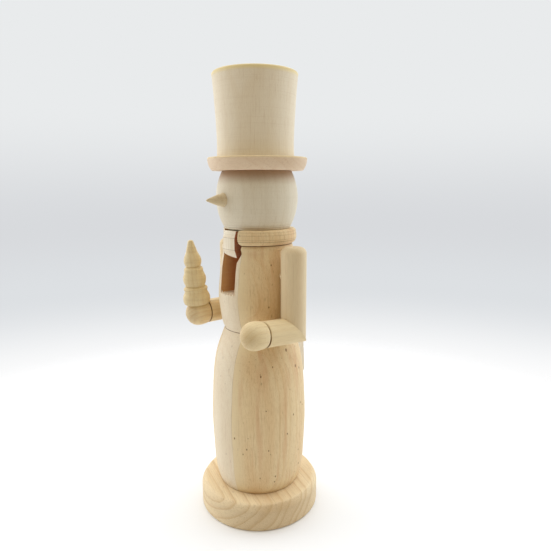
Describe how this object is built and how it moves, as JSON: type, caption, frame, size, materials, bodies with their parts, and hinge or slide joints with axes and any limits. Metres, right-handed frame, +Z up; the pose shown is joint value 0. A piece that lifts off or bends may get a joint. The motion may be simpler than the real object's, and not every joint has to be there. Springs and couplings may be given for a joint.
{
  "type": "wooden nutcracker figure",
  "caption": "Unpainted wooden snowman nutcracker with a top hat, a small tree in one hand, a round base and a jaw worked by a lever down the back.",
  "frame": {"origin": "bottom centre of the round base, on the turning axis of the figure", "axes": "+Z up along the turning axis, the figure faces -Y, +X is the figure's own left"},
  "size_m": [0.1064, 0.1008, 0.356],
  "materials": {
    "base_pine": "bare sanded softwood or limewood, unpainted and unvarnished",
    "brim_wood": "bare sanded softwood or limewood, unpainted and unvarnished",
    "cheek_wood": "bare sanded softwood or limewood, unpainted and unvarnished",
    "core_wood": "bare sanded softwood or limewood, unpainted and unvarnished",
    "crown_wood": "bare sanded softwood or limewood, unpainted and unvarnished",
    "dowel_wood": "bare sanded softwood or limewood, unpainted and unvarnished",
    "forearm_wood": "bare sanded softwood or limewood, unpainted and unvarnished",
    "head_wood": "bare sanded softwood or limewood, unpainted and unvarnished",
    "lever_wood": "bare sanded softwood or limewood, unpainted and unvarnished",
    "nose_wood": "bare sanded softwood or limewood, unpainted and unvarnished",
    "screw_steel": "zinc-plated countersunk screw",
    "tree_wood": "bare sanded softwood or limewood, unpainted and unvarnished",
    "upper_arm_wood": "bare sanded softwood or limewood, unpainted and unvarnished"
  },
  "bodies": {
    "figure": {"base": "base_pine", "base_screw_front": "screw_steel", "base_screw_back": "screw_steel", "body_core": "core_wood", "body_left_cheek": "cheek_wood", "body_right_cheek": "cheek_wood", "pivot_pin": "dowel_wood", "head": "head_wood", "head_dowel_left": "dowel_wood", "head_dowel_right": "dowel_wood", "nose": "nose_wood", "hat_brim": "brim_wood", "hat_crown": "crown_wood", "hat_dowel": "dowel_wood", "left_upper_arm": "upper_arm_wood", "left_forearm": "forearm_wood", "left_shoulder_dowel": "dowel_wood", "left_elbow_dowel": "dowel_wood", "right_upper_arm": "upper_arm_wood", "right_forearm": "forearm_wood", "right_shoulder_dowel": "dowel_wood", "right_elbow_dowel": "dowel_wood", "tree": "tree_wood"},
    "jaw_lever": {"lever": "lever_wood"}
  },
  "joints": [
    {"name": "lever_pivot", "type": "hinge", "parent": "figure", "child": "jaw_lever", "pos_m": [0, 0.004, 0.2225], "axis": [1, 0, 0], "range_deg": [0, 35]}
  ]
}
